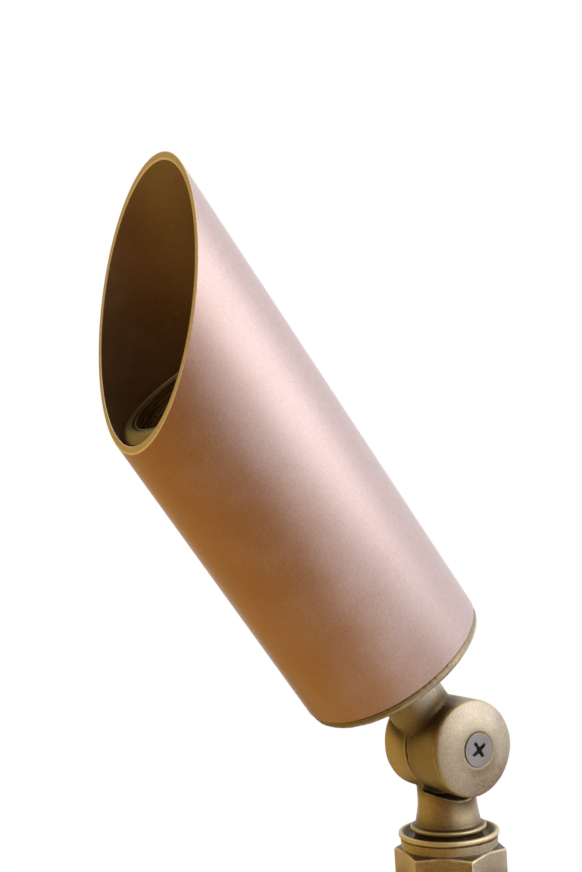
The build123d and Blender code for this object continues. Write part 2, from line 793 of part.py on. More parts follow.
def write(name, made, place):
    """Puts a piece, or a group of like pieces, in its place and writes its file."""
    solids = made if isinstance(made, list) else [made]
    placed = [place(solid) for solid in solids]
    shape = placed[0] if len(placed) == 1 else Compound(children=placed)
    export_step(shape, f"parts/{name}.step")


os.makedirs("parts", exist_ok=True)
for name, make in head_pieces.items():
    write(name, make(), place_head)
for name, make in pivot_pieces.items():
    write(name, make(), place_pivot)
for name, make in stake_pieces.items():
    write(name, make(), place_ground)
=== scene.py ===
import json
import math
from functools import lru_cache

import bmesh
import bpy
import numpy as np
from bpy.props import FloatProperty, FloatVectorProperty, IntProperty, PointerProperty
from mathutils import Matrix, Vector


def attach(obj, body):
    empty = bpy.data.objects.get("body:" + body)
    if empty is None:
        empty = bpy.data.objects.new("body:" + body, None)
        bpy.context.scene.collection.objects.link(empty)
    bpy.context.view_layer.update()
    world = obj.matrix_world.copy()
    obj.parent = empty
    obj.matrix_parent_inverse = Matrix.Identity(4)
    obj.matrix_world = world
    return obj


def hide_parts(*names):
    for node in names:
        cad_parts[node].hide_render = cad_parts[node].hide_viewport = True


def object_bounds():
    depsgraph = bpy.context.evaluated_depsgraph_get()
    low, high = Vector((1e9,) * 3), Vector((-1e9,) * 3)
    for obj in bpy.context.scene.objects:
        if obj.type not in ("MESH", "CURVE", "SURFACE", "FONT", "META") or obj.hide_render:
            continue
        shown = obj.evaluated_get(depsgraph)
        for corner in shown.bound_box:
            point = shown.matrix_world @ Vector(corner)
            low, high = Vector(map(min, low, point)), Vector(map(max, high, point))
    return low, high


bl_info = {
    "name": "Garden spike spotlight",
    "version": (1, 0, 0),
    "blender": (4, 5, 0),
    "location": "View3D > Sidebar > Spotlight",
    "description": "Surfaces, finishes and studio for a brass garden spike spotlight",
    "category": "Object",
}

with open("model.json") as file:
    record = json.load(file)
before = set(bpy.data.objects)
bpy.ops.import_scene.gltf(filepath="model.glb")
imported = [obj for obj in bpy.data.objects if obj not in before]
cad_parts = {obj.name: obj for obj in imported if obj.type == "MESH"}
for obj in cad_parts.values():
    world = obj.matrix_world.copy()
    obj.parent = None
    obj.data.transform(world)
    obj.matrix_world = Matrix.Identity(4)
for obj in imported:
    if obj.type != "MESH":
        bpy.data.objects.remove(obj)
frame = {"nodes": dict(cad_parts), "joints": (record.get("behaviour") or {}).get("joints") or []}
cad_low, cad_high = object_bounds()
MM = 0.001


# -------- places taken from the frame
def joint(name):
    """The record's joint of that name."""
    return next(entry for entry in frame["joints"] if entry["name"] == name)


def head_frame():
    """Matrix of the tilted head: +Z on the tube's axis, +X as the screw, and its origin where
    that axis passes closest to the knuckle's pivot."""
    along = Vector(joint("shroud_turn")["axis"]).normalized()
    across = Vector(joint("knuckle_tilt")["axis"]).normalized()
    up = along.cross(across)
    turn = Matrix((across, up, along)).transposed().to_4x4()
    on_axis = Vector(joint("shroud_turn")["pos_m"])
    origin = on_axis + (PIVOT - on_axis).dot(along) * along
    return Matrix.Translation(origin) @ turn


def vertex_rows(mesh):
    """A mesh's vertices, as rows of x, y and z."""
    rows = np.empty(len(mesh.vertices) * 3)
    mesh.vertices.foreach_get("co", rows)
    return rows.reshape(-1, 3)


def corners(node):
    """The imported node's vertices."""
    return vertex_rows(frame["nodes"][node].data)


def moved(points, matrix):
    """Points carried by a 4 x 4 matrix: rotation first, then translation."""
    table = np.array(matrix)
    return points @ table[:3, :3].T + table[:3, 3]


PIVOT = Vector(joint("knuckle_tilt")["pos_m"])
HEAD = head_frame()
TUBE = moved(corners("glare_shroud"), HEAD.inverted())
TUBE_OUTER = float(np.hypot(TUBE[:, 0], TUBE[:, 1]).max())
TUBE_BORE = float(np.hypot(TUBE[:, 0], TUBE[:, 1]).min())
TUBE_BASE = float(TUBE[:, 2].min())
SCREW = corners("knuckle_screw")
SCREW_FACE = float(SCREW[:, 0].max())
SCREW_TIP = float(SCREW[:, 0].min())
SCREW_RADIUS = float(np.hypot(SCREW[:, 1] - PIVOT.y, SCREW[:, 2] - PIVOT.z).max())
CAST_LIT_SIDE = np.array([0.53, 0.85, 0.0])  # faces of castings and nut towards this side are painted paler, as painted light


# -------- settings
def length(name, text, value):
    """A length in metres with its own entry in the sidebar."""
    return FloatProperty(name=name, description=text, default=value, unit="LENGTH", precision=5)


def angle(name, text, degrees):
    """An angle, given in degrees and kept in radians."""
    return FloatProperty(
        name=name, description=text, default=math.radians(degrees), subtype="ANGLE")


def colour(name, text, value):
    """A colour in linear light."""
    return FloatVectorProperty(
        name=name, description=text, default=value, size=3, min=0, max=4, subtype="COLOR")


class SpotlightShape(bpy.types.PropertyGroup):
    """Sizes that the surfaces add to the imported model."""

    rim_round: length("Rim rounding", "Radius of the tube's filed edges", 0.34 * MM)
    mouth_angle: angle("Mouth angle", "Between the tube's cut and its axis", 44.3)
    round_columns: IntProperty(name="Columns", description="Faces around the tube", default=384)
    cast_voxel: length("Casting grid", "Voxel of the knuckle castings", 0.34 * MM)
    cap_voxel: length("Cap grid", "Voxel of the rear cap casting", 0.53 * MM)
    nut_voxel: length("Nut grid", "Voxel of the lock nut", 0.27 * MM)
    stake_voxel: length("Stake grid", "Voxel of the moulded stake", 0.62 * MM)
    rubber_voxel: length("Rubber grid", "Voxel of the rubber pieces", 0.3 * MM)
    disc_dome: length("Disc dome", "Rise of the near disc's face from its rim to its middle", 0.8 * MM)
    cast_waviness: length("Casting waviness", "How far a cast face wanders from flat", 0.07 * MM)
    recess_depth: length("Recess depth", "Depth of the screw's cross recess", 2.2 * MM)
    recess_width: length("Recess width", "Width of each wing of the recess", 1.05 * MM)
    recess_span: length("Recess span", "Length of the recess from wing to wing", 5.8 * MM)
    recess_turn: angle("Recess turn", "Bearing of the recess", 32)


class SpotlightFinish(bpy.types.PropertyGroup):
    """Colours of the finishes."""

    # The tube is painted in a lit copy of its bronze above and a shaded copy below: painted light and
    # painted shade.
    rose: colour("Rose bronze", "Upper side of the tube, paler as painted light", (0.6, 0.455, 0.445))
    rose_shaded_side: colour("Deep rose bronze", "Shaded underside of the tube", (0.42, 0.18, 0.05))
    # The bore's colour, darker than the outside.
    inside: colour("Inside", "Bore of the tube, darker than the outside", (0.28, 0.175, 0.08))
    rim: colour("Rim", "Filed end of the tube", (0.6, 0.48, 0.27))
    # Painted highlight: bright lines along the rounded lips of the rim.
    lip_highlight: colour("Lip", "Painted highlight along the lips of the filed end", (0.9, 0.76, 0.52))
    # Raw brass of scratches and of edges bare from wear; on the castings' edges it also stands for a
    # painted highlight.
    raw_brass: colour("Raw brass", "Scratches and bare edges, with painted edge highlights", (0.85, 0.7, 0.38))
    # Castings and nut are painted in a lit copy on one side and shaded copies elsewhere, as painted
    # light and shade; the cap's shaded copy is darker still as painted shadow under the tube. The lit
    # copy is also the housing sleeve's own colour.
    antique: colour("Antique brass", "Lit side of castings and nut as painted light, and the housing sleeve", (0.5, 0.42, 0.325))
    cap_shaded_side: colour("Cap brown", "Shaded side of the rear cap casting as painted shade", (0.27, 0.19, 0.067))
    neck_shaded_side: colour("Neck brown", "Shaded side of neck and nut as painted shade", (0.5, 0.375, 0.165))
    bezel: colour("Bezel", "Lens bezel", (0.26, 0.2, 0.085))
    # Patina in the hollows, and painted shade in nooks sheltered by other parts such as under the
    # tube.
    patina_and_painted_shade: colour("Deep antique brass", "Patina in hollows and painted shade in nooks", (0.085, 0.05, 0.018))
    steel: colour("Steel", "Screws", (0.3, 0.28, 0.28))
    stake: colour("Stake", "Moulded stake", (0.022, 0.021, 0.02))


class SpotlightStudio(bpy.types.PropertyGroup):
    """Camera, lamps and floor."""

    camera_offset: FloatVectorProperty(
        name="Camera", description="Camera from the knuckle's pivot",
        default=(0.3771, -0.2844, 0.0985), size=3, subtype="TRANSLATION")
    camera_azimuth: angle("Azimuth", "Bearing that the camera looks from", 58.1)
    camera_roll: angle("Roll", "Turn about the line of sight", 3.34)
    camera_lens: FloatProperty(name="Lens", description="Focal length in millimetres", default=61.97)
    key_power: FloatProperty(name="Key", description="Watts of the main lamp", default=4.1)
    fill_power: FloatProperty(name="Fill", description="Watts of the overhead lamp", default=1.5)
    ambient: FloatProperty(name="Ambient", description="Strength of the room's light", default=0.45)
    card: colour("Card", "Warm card beside the camera", (0.26, 0.12, 0.04))
    card_end: colour("Card end", "Far end of the card", (0.7, 0.5, 0.2))
    floor_card: colour("Floor card", "Card on the floor beside the camera", (0.3, 0.21, 0.115))


# -------- meshes
def new_object(name, vertices, faces):
    """A mesh object at the origin, from arrays of points and faces."""
    mesh = bpy.data.meshes.new(name)
    mesh.from_pydata(vertices.tolist(), [], faces.tolist())
    mesh.validate()
    piece = bpy.data.objects.new(name, mesh)
    bpy.context.scene.collection.objects.link(piece)
    return piece


def merge_doubles(piece, distance=1e-7):
    """Joins vertices that lie on each other, which closes seams and poles."""
    work = bmesh.new()
    work.from_mesh(piece.data)
    bmesh.ops.remove_doubles(work, verts=work.verts, dist=distance)
    work.to_mesh(piece.data)
    work.free()


def apply_modifiers(piece):
    """Replaces the mesh by what its modifiers make of it, under the piece's name."""
    graph = bpy.context.evaluated_depsgraph_get()
    mesh = bpy.data.meshes.new_from_object(piece.evaluated_get(graph))
    piece.modifiers.clear()
    old = piece.data
    piece.data = mesh
    bpy.data.meshes.remove(old)
    mesh.name = piece.name
    mesh.materials.clear()


def shade(piece, angle):
    """Smooth shading, with edges sharper than the angle left crisp."""
    piece.data.shade_smooth()
    piece.data.set_sharp_from_angle(angle=math.radians(angle))


def set_attribute(piece, name, values):
    """Stores one number per vertex for the materials."""
    layer = piece.data.attributes.new(name, "FLOAT", "POINT")
    layer.data.foreach_set("value", np.ascontiguousarray(values, dtype=np.float32))


def wrapped_grid(rows, columns, closed=False):
    """Quads of a grid that closes on itself around its columns, facing outwards for a
    profile that climbs while the columns run anticlockwise. In a closed profile the last
    row joins the first."""
    strips = rows if closed else rows - 1
    row, column = np.indices((strips, columns))
    beside = (column + 1) % columns
    low = row * columns
    high = (row + 1) % rows * columns
    return np.stack([low + column, low + beside, high + beside, high + column], axis=-1).reshape(-1, 4)


def turned_points(radius, height, columns, span=None):
    """A profile turned about Z: x = r cos t, y = r sin t, z = h for t around the circle, or
    over a span from its first angle to its last."""
    turn = np.linspace(*(span or (0, 2 * np.pi)), columns, endpoint=span is not None)
    ring = np.stack([np.cos(turn), np.sin(turn), np.zeros(columns)], axis=-1)
    points = radius[:, None, None] * ring
    points[:, :, 2] = height[:, None]
    return points


def rounded(outline, rounds, steps=5):
    """An outline of (radius, height) corners, each with its own rounding, as two arrays.
    A rounded corner becomes a quadratic curve from one leg to the other."""
    outline = np.array(outline, dtype=float)
    share_of_arc = np.linspace(0, 1, steps)[:, None]
    pieces = [outline[:1]]
    for index in range(1, len(outline) - 1):
        before, corner, after = outline[index - 1:index + 2]
        size = rounds.get(index, 0)
        if size == 0:
            pieces.append(corner[None])
            continue
        start = corner + (before - corner) * size / np.linalg.norm(before - corner)
        end = corner + (after - corner) * size / np.linalg.norm(after - corner)
        curve = (1 - share_of_arc) ** 2 * start
        curve = curve + 2 * share_of_arc * (1 - share_of_arc) * corner + share_of_arc ** 2 * end
        pieces.append(curve)
    pieces.append(outline[-1:])
    profile = np.concatenate(pieces)
    return profile[:, 0], profile[:, 1]


@lru_cache
def crowding_grid(cell, count=96, spread=3.5, samples_per_mm2=6):
    """How much surface lies around each cell of a grid around the knuckle, in mm2 per mm3,
    and the grid's low corner in mm.

    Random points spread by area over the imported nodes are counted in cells, and the count
    is blurred to a Gaussian of the given spread through its Fourier transform."""
    low = np.array(PIVOT) / MM - 0.5 * count * cell
    chance = np.random.default_rng(5)
    crowd = np.zeros((count, count, count))
    for node in frame["nodes"].values():
        mesh = node.data
        mesh.calc_loop_triangles()
        ends = np.empty(len(mesh.loop_triangles) * 3, dtype=np.int64)
        mesh.loop_triangles.foreach_get("vertices", ends)
        first, second, third = np.moveaxis(vertex_rows(mesh)[ends].reshape(-1, 3, 3), 1, 0) / MM
        area = 0.5 * np.linalg.norm(np.cross(second - first, third - first), axis=1)
        samples = int(samples_per_mm2 * area.sum()) + 1
        pick = chance.choice(len(area), samples, p=area / area.sum())
        u, v = chance.random((2, samples, 1))
        root = np.sqrt(u)
        spot = (1 - root) * first[pick] + root * (1 - v) * second[pick] + root * v * third[pick]
        inside = ((spot > low) & (spot < low + count * cell)).all(axis=1)
        found, _ = np.histogramdd(
            spot[inside], bins=crowd.shape, range=[(a, a + count * cell) for a in low])
        crowd += found * area.sum() / samples / cell ** 3
    pace = np.fft.fftfreq(count, cell)
    fade = np.exp(-2 * (np.pi * spread * pace) ** 2)
    crowd = np.fft.ifftn(np.fft.fftn(crowd) * fade[:, None, None] * fade[:, None] * fade).real
    return crowd, low


def shelter(points, normals):
    """How sheltered each point is, from 0 in the open to 1 in a nook. The grid is read a
    little above the point, between its eight nearest cells, and its value is mapped from
    what a flat face alone gives there to what a deep nook gives."""
    cell = 1.0
    height = 5.0
    flat_face, nook = 0.042, 0.102
    crowd, low = crowding_grid(cell)
    ahead = np.clip((points / MM + height * normals - low) / cell - 0.5, 0, len(crowd) - 1.001)
    corner = ahead.astype(int)
    part = ahead - corner
    total = np.zeros(len(points))
    for step in np.ndindex(2, 2, 2):
        share = np.where(step, part, 1 - part).prod(axis=1)
        total += share * crowd[tuple((corner + step).T)]
    return np.clip((total - flat_face) / (nook - flat_face), 0, 1)


def dome_face(piece, rise):
    """Raises the disc's face around the knuckle's screw by rise (0.7 - (r / R)^2). It fades
    out over the first millimetre below the screw's face, and R is the reach of that zone."""
    points = vertex_rows(piece.data)
    reach = np.hypot(points[:, 1] - PIVOT.y, points[:, 2] - PIVOT.z)
    disc = reach < 4 * SCREW_RADIUS  # past the disc's rim and short of the tube
    facing = np.where(disc, np.clip((points[:, 0] - SCREW_FACE) / MM + 1, 0, 1), 0)
    points[:, 0] += rise * facing * (0.7 - (reach / reach[facing > 0].max()) ** 2)
    piece.data.vertices.foreach_set("co", points.ravel())
    piece.data.update()


def soft_copy(node, name, voxel, rounds, waviness=0.0):
    """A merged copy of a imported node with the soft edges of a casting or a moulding.

    The copy is remeshed on a grid of voxels, then each vertex moves halfway to the mean of
    its neighbours for some rounds. The move that a further round would ask for, along the
    normal, is large on edges and in hollows: it is kept as the attribute "edge", from -1
    in a hollow to 1 on an edge. Last, a cast face wanders by a sum of three slow sines."""
    edge_gain = 14
    waves = ((0.61, 0.0, 0.37, 1.3, 1.0), (0.0, 0.53, -0.48, 0.0, 1.0), (1.1, -0.9, 0.7, 0.0, 0.6))
    piece = bpy.data.objects.new(name, frame["nodes"][node].data.copy())
    bpy.context.scene.collection.objects.link(piece)
    merge_doubles(piece, 1e-6)
    remesh = piece.modifiers.new("grid", "REMESH")
    remesh.mode = "VOXEL"
    remesh.voxel_size = voxel
    apply_modifiers(piece)

    mesh = piece.data
    points = vertex_rows(mesh)
    count = len(points)
    ends = np.empty(len(mesh.edges) * 2, dtype=np.int64)
    mesh.edges.foreach_get("vertices", ends)
    first, second = ends.reshape(-1, 2).T
    start = np.concatenate([first, second])
    other = np.concatenate([second, first])
    degree = np.bincount(start, minlength=count)

    def neighbour_mean(values):
        """For each vertex, the mean over the vertices joined to it by an edge."""
        columns = [np.bincount(start, weights=column[other], minlength=count) for column in values.T]
        return np.stack(columns, axis=-1) / degree[:, None]

    for _ in range(rounds):
        points = 0.5 * (points + neighbour_mean(points))
    mesh.vertices.foreach_set("co", points.ravel())
    mesh.update()
    normals = np.empty(count * 3)
    mesh.vertex_normals.foreach_get("vector", normals)
    normals = normals.reshape(-1, 3)
    bend = -np.einsum("ij,ij->i", neighbour_mean(points) - points, normals) / voxel
    bend = bend[:, None]
    for _ in range(2):
        bend = 0.5 * (bend + neighbour_mean(bend))
    # How sheltered each vertex is drives the painted shade of nooks in the materials.
    sheltered = shelter(points, normals)
    wander = sum(
        size * np.sin(points / MM @ (x, y, z) + phase) for x, y, z, phase, size in waves)
    peak = sum(size for *_, size in waves)
    points = points + normals * (waviness * wander / peak)[:, None]
    mesh.vertices.foreach_set("co", points.ravel())
    mesh.shade_smooth()
    set_attribute(piece, "edge", np.clip(edge_gain * bend[:, 0], -1, 1))
    set_attribute(piece, "shelter", sheltered)
    # Painted light: faces towards one side are made paler, less so in sheltered nooks.
    full_painted_light = 0.45
    painted_light_share = np.clip(normals @ CAST_LIT_SIDE / full_painted_light, 0, 1) * (1 - 0.8 * sheltered)
    set_attribute(piece, "painted_light_share", painted_light_share)
    return piece


def settle(piece, material, body, node):
    """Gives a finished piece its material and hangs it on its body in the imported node's place."""
    piece.data.materials.append(material)
    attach(piece, body)
    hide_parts(node)


def paint(node, kind, *settings):
    """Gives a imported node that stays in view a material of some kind, named after the node."""
    slots = frame["nodes"][node].data.materials
    slots.clear()
    slots.append(kind(node.replace("_", " "), *settings))


# -------- shader helpers
def add(tree, kind, inputs=None, **settings):
    """A node with its settings, and with sockets filled from values or linked from sockets."""
    made = tree.nodes.new(kind)
    for key, value in settings.items():
        setattr(made, key, value)
    for key, value in (inputs or {}).items():
        if isinstance(value, bpy.types.NodeSocket):
            tree.links.new(value, made.inputs[key])
        else:
            made.inputs[key].default_value = value
    return made


def rgba(value):
    """Three colour numbers as four."""
    return (*value, 1.0)


def noise(tree, vector, scale, detail=2.0, roughness=0.5):
    """Noise from 0 to 1; the scale is in waves per metre."""
    made = add(tree, "ShaderNodeTexNoise", {
        "Vector": vector, "Scale": scale, "Detail": detail, "Roughness": roughness})
    return made.outputs["Fac"]


def math_node(tree, operation, first, second=0.0):
    """Arithmetic on two sockets or numbers."""
    made = add(tree, "ShaderNodeMath", {0: first, 1: second}, operation=operation)
    return made.outputs["Value"]


def times(tree, first, second):
    """Product of two sockets or numbers."""
    return math_node(tree, "MULTIPLY", first, second)


def shaken(tree, value, pattern, size):
    """A value moved up and down by a pattern from 0 to 1; the size is the whole swing."""
    return math_node(
        tree, "ADD", value, times(tree, math_node(tree, "SUBTRACT", pattern, 0.5), size))


def dot(tree, vector, direction):
    """Dot product of two vectors."""
    made = add(tree, "ShaderNodeVectorMath", {0: vector, 1: direction}, operation="DOT_PRODUCT")
    return made.outputs["Value"]


def fit_range(tree, value, low, high, to_low=0.0, to_high=1.0):
    """Maps low..high onto to_low..to_high, smoothly and clamped."""
    made = add(tree, "ShaderNodeMapRange", {
        "Value": value, "From Min": low, "From Max": high, "To Min": to_low, "To Max": to_high,
    }, interpolation_type="SMOOTHSTEP")
    return made.outputs["Result"]


def mix(tree, factor, first, second, blend="MIX"):
    """Mix of two colours."""
    made = add(tree, "ShaderNodeMix", {0: factor, 6: first, 7: second},
               data_type="RGBA", blend_type=blend)
    return made.outputs[2]


def coordinates(tree, scale=(1, 1, 1), matrix=None):
    """Object coordinates, centred on a frame and stretched."""
    source = add(tree, "ShaderNodeTexCoord").outputs["Object"]
    if matrix is not None:
        source = add(tree, "ShaderNodeMapping", {
            "Vector": source, "Location": matrix.to_translation(), "Rotation": matrix.to_euler(),
        }, vector_type="TEXTURE").outputs["Vector"]
    return add(tree, "ShaderNodeMapping", {"Vector": source, "Scale": scale}).outputs["Vector"]


def new_group(name, inputs, *outputs):
    """An empty node group that takes a vector and numbers, with their defaults, and gives
    numbers; returns its tree, input and output nodes."""
    tree = bpy.data.node_groups.new(name, "ShaderNodeTree")
    tree.interface.new_socket("Vector", in_out="INPUT", socket_type="NodeSocketVector")
    for key, value in inputs.items():
        socket = tree.interface.new_socket(key, in_out="INPUT", socket_type="NodeSocketFloat")
        socket.default_value = value
    for key in outputs:
        tree.interface.new_socket(key, in_out="OUTPUT", socket_type="NodeSocketFloat")
    return tree, add(tree, "NodeGroupInput"), add(tree, "NodeGroupOutput")


def use_group(tree, name, inputs):
    """Places a shared node group in a material; it is built when first used."""
    group = bpy.data.node_groups.get(name) or GROUPS[name]()
    return add(tree, "ShaderNodeGroup", inputs, node_tree=group).outputs


def fine_grain(tree, vector, grain_scale, clouds):
    """The masks of the shared grain, at scales of its own."""
    return use_group(tree, "grain", {"Vector": vector, "Grain": grain_scale, "Clouds": clouds})


def attribute(tree, name):
    """A number stored on the mesh's vertices."""
    return add(tree, "ShaderNodeAttribute", attribute_name=name).outputs["Fac"]


def seen_directly(tree):
    """1 for the rays of the camera, of reflections and of clear pieces, 0 for bounced light."""
    path = add(tree, "ShaderNodeLightPath").outputs
    return math_node(tree, "MAXIMUM", path["Is Camera Ray"], math_node(
        tree, "MAXIMUM", path["Is Glossy Ray"], path["Is Transmission Ray"]))


def blend_surface(tree, share, first, second):
    """Makes a blend of two shader nodes the material's surface."""
    blend = add(tree, "ShaderNodeMixShader", {0: share, 1: first.outputs[0], 2: second.outputs[0]})
    tree.links.new(blend.outputs[0], tree.nodes["Material Output"].inputs["Surface"])


def connect(tree, node, sockets):
    """Links sockets to a node's inputs by name."""
    for key, value in sockets.items():
        tree.links.new(value, node.inputs[key])


def grain_group():
    """Fine matt grain with short crossed scratches: height, a brightness mask, slow clouds."""
    tree, source, result = new_group(
        "grain", {"Grain": 2400.0, "Clouds": 70.0}, "Height", "Speckle", "Cloud")
    vector = source.outputs["Vector"]
    scale = source.outputs["Grain"]
    fine = noise(tree, vector, scale, 2.0, 0.6)
    strokes = []
    for stretch in ((1.0, 1.0, 0.16), (0.2, 0.2, 1.0)):
        along = add(tree, "ShaderNodeVectorMath", {0: vector, 1: stretch}, operation="MULTIPLY")
        strokes.append(noise(tree, along.outputs["Vector"], scale, 2.0, 0.6))
    crossed = math_node(tree, "ADD", *strokes)
    height = math_node(tree, "ADD", times(tree, fine, 0.6), times(tree, crossed, 0.2))
    cloud = noise(tree, vector, source.outputs["Clouds"], 3.0, 0.55)
    connect(tree, result, {"Height": height, "Speckle": fit_range(tree, height, 0.35, 0.65),
                           "Cloud": fit_range(tree, cloud, 0.35, 0.68)})
    return tree


def wear_group():
    """Two masks broken up by noise: edges, where wear shows and a highlight is painted, and dark
    hollows.
    """
    tree, source, result = new_group(
        "edge wear", {"Scale": 420.0, "Start": 0.25}, "Edge", "Hollow")
    bend = attribute(tree, "edge")
    patches = noise(tree, source.outputs["Vector"], source.outputs["Scale"], 2.0, 0.55)
    bend = shaken(tree, bend, patches, 0.35)
    start = source.outputs["Start"]
    edge = fit_range(tree, bend, start, math_node(tree, "ADD", start, 0.45))
    hollow = fit_range(tree, times(tree, bend, -1.0), 0.12, 0.6)
    connect(tree, result, {"Edge": edge, "Hollow": hollow})
    return tree


def scratch_group():
    """Thin scattered scratches: 1 on a line, 0 elsewhere."""
    tree, source, result = new_group("scratches", {"Density": 0.6}, "Mask")
    vector = source.outputs["Vector"]
    lines = noise(tree, vector, 1.0, 1.0, 0.4)
    ridge = math_node(tree, "ABSOLUTE", math_node(tree, "SUBTRACT", lines, 0.5))
    thin = fit_range(tree, ridge, 0.0, 0.012, 1.0, 0.0)
    patches = noise(tree, vector, 0.4, 1.0, 0.5)
    mask = times(tree, thin, fit_range(tree, patches, source.outputs["Density"], 1.0))
    connect(tree, result, {"Mask": mask})
    return tree


GROUPS = {"grain": grain_group, "edge wear": wear_group, "scratches": scratch_group}


def new_material(name, metallic, roughness, **sockets):
    """A Principled material; returns it, its tree and its shader node."""
    material = bpy.data.materials.new(name)
    material.use_nodes = True
    tree = material.node_tree
    shader = tree.nodes["Principled BSDF"]
    for key, value in {"Metallic": metallic, "Roughness": roughness, **sockets}.items():
        shader.inputs[key.replace("_", " ")].default_value = value
    return material, tree, shader


def add_bump(tree, shader, height, distance, strength):
    """Bump of a real depth on the shader's normal."""
    bump = add(tree, "ShaderNodeBump", {
        "Height": height, "Distance": distance, "Strength": strength})
    tree.links.new(bump.outputs["Normal"], shader.inputs["Normal"])


# -------- materials
def rose_bronze():
    """Satin rose bronze with fine grain, painted light and shade, a filed rim with painted highlights
    on its lips and a darker bore.
    """
    finish = bpy.context.scene.spotlight_finish
    material, tree, shader = new_material(
        "rose bronze", 0.6, 0.42, Coat_Weight=0.5, Coat_Roughness=0.38, Coat_IOR=1.6)
    vector = coordinates(tree, matrix=HEAD)
    grain = fine_grain(tree, vector, 2700.0, 45.0)
    scratches = use_group(tree, "scratches", {
        "Vector": coordinates(tree, (60, 140, 900), HEAD), "Density": 0.5})["Mask"]
    rim, lip_highlight, inside = [attribute(tree, name) for name in ("rim", "lip_highlight", "inside")]

    # Painted light and shade: the base turns from the shaded-side colour below to the lit-side colour
    # above.
    tube_lit_side = Vector((0.46, 0.89, 0))
    upper = shaken(tree, dot(tree, vector, tube_lit_side / TUBE_OUTER), grain["Cloud"], 0.25)
    outside = mix(tree, fit_range(tree, upper, -0.95, 0.75),
                  rgba(finish.rose_shaded_side), rgba(finish.rose))
    bore = mix(tree, times(tree, grain["Cloud"], 0.4),
               rgba(finish.inside), rgba([0.6 * v for v in finish.inside]))
    base = mix(tree, inside, outside, bore)
    base = mix(tree, times(tree, scratches, 0.3), base, rgba(finish.raw_brass))
    base = mix(tree, rim, base, rgba(finish.rim))
    # Painted highlight: bright lines along the rounded lips of the rim.
    base = mix(tree, lip_highlight, base, rgba(finish.lip_highlight))
    base = mix(tree, 1.0, base, fit_range(tree, grain["Speckle"], 0, 1, 0.88, 1.12), "MULTIPLY")
    rough = math_node(tree, "ADD", fit_range(tree, grain["Speckle"], 0, 1, 0.37, 0.47),
                      times(tree, inside, 0.15))
    raw = math_node(tree, "MAXIMUM", rim, inside)
    connect(tree, shader, {"Base Color": base, "Roughness": rough,
                           "Coat Weight": fit_range(tree, raw, 0, 1, 0.5, 0.0)})
    add_bump(tree, shader, grain["Height"], 0.09 * MM, 0.7)
    return material


def antique_brass(name, brown, grain_scale, wear_start, wear_share):
    """Antique brass: a shaded-side brown and a pale lit side as painted light and shade, patina in the
    hollows, painted shade in sheltered nooks, and raw yellow metal on the edges as wear and painted
    highlight."""
    finish = bpy.context.scene.spotlight_finish
    material, tree, shader = new_material(
        name, 0.85, 0.42, Coat_Weight=0.5, Coat_Roughness=0.4, Coat_IOR=1.6)
    vector = coordinates(tree)
    grain = fine_grain(tree, vector, grain_scale, 60.0)
    wear = use_group(tree, "edge wear", {"Vector": vector, "Start": wear_start})
    # Painted light and shade: the shaded-side colour turns to the lit-side colour on faces towards one
    # side.
    base = mix(tree, attribute(tree, "painted_light_share"), rgba(brown), rgba(finish.antique))
    clouds = fit_range(tree, grain["Cloud"], 0, 1, 1.0, 0.88)
    base = mix(tree, 1.0, base, clouds, "MULTIPLY")
    speckle = fit_range(tree, grain["Speckle"], 0, 1, 0.8, 1.2)
    base = mix(tree, 1.0, base, speckle, "MULTIPLY")
    # Painted shade in sheltered nooks, such as under the tube and in the knuckle's gaps; patina in the
    # hollows.
    nook = times(tree, attribute(tree, "shelter"), 0.9)
    dark = math_node(tree, "MAXIMUM", wear["Hollow"], nook)
    base = mix(tree, dark, base, rgba(finish.patina_and_painted_shade))
    # Wear and painted highlight: edges turn raw yellow brass, less so in the dark.
    open_share = fit_range(tree, dark, 0, 1, wear_share, 0.6 * wear_share)
    wear_and_edge_highlight = times(tree, wear["Edge"], open_share)
    base = mix(tree, wear_and_edge_highlight, base, rgba(finish.raw_brass))
    connect(tree, shader, {
        "Base Color": base, "Metallic": fit_range(tree, dark, 0, 1, 0.85, 0.6),
        "Roughness": fit_range(tree, grain["Speckle"], 0, 1, 0.38, 0.52),
        "Coat Weight": fit_range(tree, dark, 0.0, 0.7, 0.5, 0.0)})
    add_bump(tree, shader, grain["Height"], 0.16 * MM, 0.7)
    return material


def plain_metal(name, base, roughness, grain_scale=1800.0):
    """Turned or stamped metal with fine grain."""
    material, tree, shader = new_material(name, 1.0, roughness)
    grain = fine_grain(tree, coordinates(tree), grain_scale, 160.0)
    darker = [0.7 * value for value in base]
    tint = mix(tree, times(tree, grain["Cloud"], 0.5), rgba(base), rgba(darker))
    rough = fit_range(tree, grain["Speckle"], 0, 1, roughness - 0.05, roughness + 0.08)
    connect(tree, shader, {"Base Color": tint, "Roughness": rough})
    add_bump(tree, shader, grain["Height"], 0.03 * MM, 0.5)
    return material


def moulded(name, base, roughness, depth=0.05 * MM):
    """Moulded plastic, rubber or ceramic with a fine skin."""
    material, tree, shader = new_material(name, 0.0, roughness)
    grain = fine_grain(tree, coordinates(tree), 1500.0, 90.0)
    paler = [min(1.0, 1.35 * value + 0.006) for value in base]
    tint = mix(tree, times(tree, grain["Cloud"], 0.6), rgba(base), rgba(paler))
    rough = fit_range(tree, grain["Speckle"], 0, 1, roughness - 0.06, roughness + 0.08)
    connect(tree, shader, {"Base Color": tint, "Roughness": rough})
    add_bump(tree, shader, grain["Height"], depth, 0.6)
    return material


